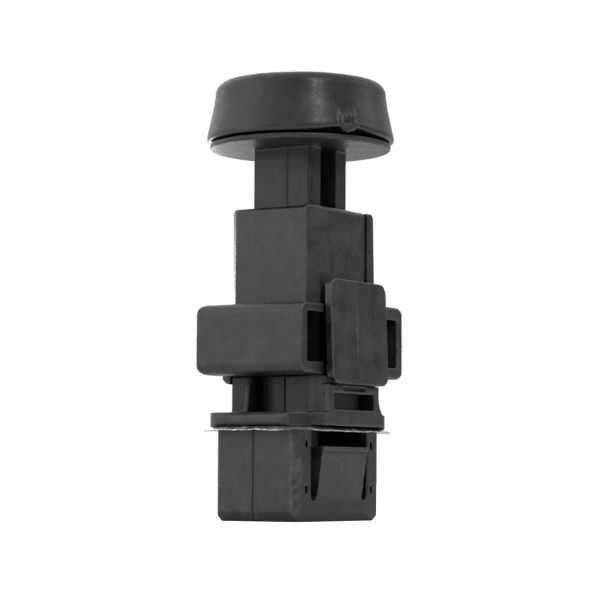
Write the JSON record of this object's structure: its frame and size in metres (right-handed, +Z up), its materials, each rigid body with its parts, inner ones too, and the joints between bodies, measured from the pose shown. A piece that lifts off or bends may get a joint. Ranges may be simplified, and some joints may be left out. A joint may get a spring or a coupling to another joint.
{
  "type": "hood plunger switch",
  "caption": "Panel-mount hood switch: soft cap on a sprung square plunger, bayonet wings and latch arm, sealed flange, plug socket below.",
  "frame": {"origin": "centre of the plug socket's bottom rim, under the centre of the cap", "axes": "+Z up along the plunger axis from the socket rim to the cap; +Y across the two bayonet wings; +X towards the latch arm and the lock tongue"},
  "size_m": [0.0294, 0.0294, 0.069],
  "materials": {
    "cap_rubber": "satin soft moulded rubber",
    "black_nylon": "satin moulded black nylon with slight glass-fibre mottling",
    "seal_silicone": "translucent pale silicone",
    "spring_steel": "drawn wire, zinc plated",
    "carrier_nylon": "natural nylon",
    "contact_bronze": "stamped phosphor bronze",
    "contact_silver": "silver contact",
    "tinned_brass": "stamped and tin-plated",
    "block_resin": "glass-filled resin",
    "o_ring_rubber": "moulded",
    "potting_resin": "cast epoxy"
  },
  "bodies": {
    "body": {"upper_housing": "black_nylon", "mounting_collar": "black_nylon", "lower_body": "black_nylon", "lip_seal": "seal_silicone", "contact_barrel": "block_resin", "terminal_block": "block_resin", "block_o_ring": "o_ring_rubber", "terminal_potting": "potting_resin", "common_terminal": "tinned_brass", "signal_terminal": "tinned_brass", "spring_washer": "spring_steel", "spring_guide_pin": "spring_steel", "return_spring": "spring_steel"},
    "plunger": {"bumper_cap": "cap_rubber", "plunger": "black_nylon", "contact_carrier": "carrier_nylon", "contact_wiper": "contact_bronze", "wiper_rivets": "tinned_brass", "contact_tips": "contact_silver"},
    "latch_arm": {"latch_arm": "black_nylon"},
    "lock_tongue": {"lock_tongue": "black_nylon"}
  },
  "joints": [
    {"name": "plunger_slide", "type": "slide", "parent": "body", "child": "plunger", "axis": [0, 0, -1], "range_m": [0, 0.0095], "stiffness_N_per_m": 450, "springref_m": -0.006, "deforming": ["return_spring"]},
    {"name": "latch_arm_flex", "type": "hinge", "parent": "body", "child": "latch_arm", "pos_m": [0.0097, 0, 0.0212], "axis": [0, -1, 0], "range_deg": [0, 4], "stiffness_Nm_per_rad": 0.5},
    {"name": "lock_tongue_flex", "type": "hinge", "parent": "body", "child": "lock_tongue", "pos_m": [0.0069, 0, 0.0032], "axis": [0, 1, 0], "range_deg": [-4, 9], "stiffness_Nm_per_rad": 0.3}
  ]
}
